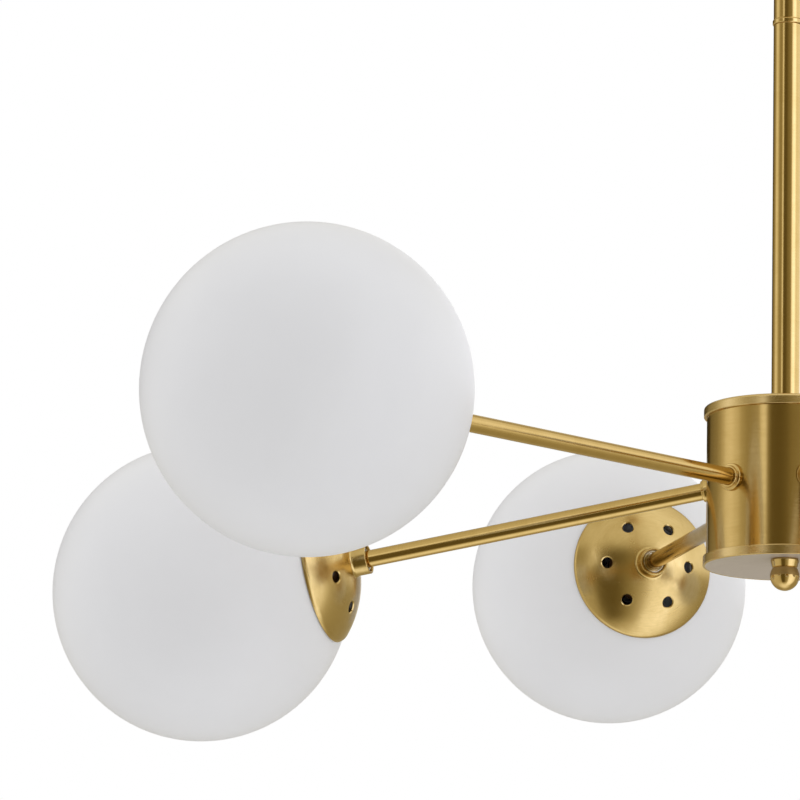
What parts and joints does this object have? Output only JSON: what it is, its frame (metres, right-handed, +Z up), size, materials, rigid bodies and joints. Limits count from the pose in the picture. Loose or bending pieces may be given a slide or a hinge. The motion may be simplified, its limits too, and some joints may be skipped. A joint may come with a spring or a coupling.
{
  "type": "branch chandelier",
  "caption": "Ceiling chandelier with slender metal arms branching from a small brushed drum on a swivel stem, each arm ending in a vented cup that holds an opal glass globe.",
  "frame": {"origin": "centre of the canopy's rim on the ceiling plane", "axes": "+Z up out of the ceiling face, +X along the first level arm"},
  "size_m": [0.7674, 0.699, 0.6108],
  "materials": {
    "satin_brass": "satin, finely brushed",
    "deep_brass": "satin, a shade darker",
    "nickel": "bright nickel plate",
    "zinc_steel": "zinc plated",
    "opal_glass": "matte opal white",
    "frosted_glass": "frosted white",
    "ceramic": "glazed ceramic",
    "lead_sheath": "matte sheath",
    "connector_plastic": "matte moulded",
    "green_screw": "green painted"
  },
  "bodies": {
    "ceiling_plate": {"mounting_strap": "zinc_steel", "ground_screw": "green_screw", "canopy_studs": "zinc_steel", "stud_nuts": "zinc_steel", "canopy": "satin_brass", "canopy_knobs": "satin_brass", "supply_lead": "lead_sheath", "supply_connectors": "connector_plastic"},
    "swivel": {"swivel_yoke": "satin_brass", "swivel_nut": "zinc_steel", "pivot_screws": "deep_brass"},
    "fixture": {"swivel_tongue": "satin_brass", "rod_collar": "deep_brass", "upper_rod": "satin_brass", "rod_joint": "satin_brass", "lower_rod": "satin_brass", "stem_lead": "lead_sheath", "drum_pipe": "zinc_steel", "drum_top_cap": "satin_brass", "drum_shell": "satin_brass", "drum_bottom_cap": "deep_brass", "drum_nuts": "zinc_steel", "terminal_block": "ceramic", "finial": "satin_brass", "arm_ferrules": "satin_brass", "arm_locknuts": "zinc_steel", "arm_leads": "lead_sheath", "cup_nuts": "nickel", "fitter_rings": "nickel", "arm_1": "satin_brass", "arm_2": "satin_brass", "arm_3": "satin_brass", "arm_4": "satin_brass", "arm_5": "satin_brass", "arm_6": "satin_brass", "cup_1": "satin_brass", "cup_2": "satin_brass", "cup_3": "satin_brass", "cup_4": "satin_brass", "cup_5": "satin_brass", "cup_6": "satin_brass", "lampholder_1": "ceramic", "lampholder_2": "ceramic", "lampholder_3": "ceramic", "lampholder_4": "ceramic", "lampholder_5": "ceramic", "lampholder_6": "ceramic", "bulb_1": "frosted_glass", "bulb_2": "frosted_glass", "bulb_3": "frosted_glass", "bulb_4": "frosted_glass", "bulb_5": "frosted_glass", "bulb_6": "frosted_glass"},
    "shade_1": {"globe_1": "opal_glass"},
    "shade_2": {"globe_2": "opal_glass"},
    "shade_3": {"globe_3": "opal_glass"},
    "shade_4": {"globe_4": "opal_glass"},
    "shade_5": {"globe_5": "opal_glass"},
    "shade_6": {"globe_6": "opal_glass"}
  },
  "joints": [
    {"name": "stem_turn", "type": "hinge", "parent": "ceiling_plate", "child": "swivel", "pos_m": [0, 0, -0.044], "axis": [0, 0, 1], "range_deg": [-170, 170]},
    {"name": "stem_tilt", "type": "hinge", "parent": "swivel", "child": "fixture", "pos_m": [0, 0, -0.044], "axis": [1, 0, 0], "range_deg": [-45, 45]},
    {"name": "globe_1_pull", "type": "slide", "parent": "fixture", "child": "shade_1", "axis": [1, 0, 0], "range_m": [0, 0.12]},
    {"name": "globe_2_pull", "type": "slide", "parent": "fixture", "child": "shade_2", "axis": [0.4931, 0.8541, -0.165], "range_m": [0, 0.12]},
    {"name": "globe_3_pull", "type": "slide", "parent": "fixture", "child": "shade_3", "axis": [-0.5, 0.866, 0], "range_m": [0, 0.12]},
    {"name": "globe_4_pull", "type": "slide", "parent": "fixture", "child": "shade_4", "axis": [-0.9863, 0, -0.165], "range_m": [0, 0.12]},
    {"name": "globe_5_pull", "type": "slide", "parent": "fixture", "child": "shade_5", "axis": [-0.5, -0.866, 0], "range_m": [0, 0.12]},
    {"name": "globe_6_pull", "type": "slide", "parent": "fixture", "child": "shade_6", "axis": [0.4931, -0.8541, -0.165], "range_m": [0, 0.12]}
  ]
}
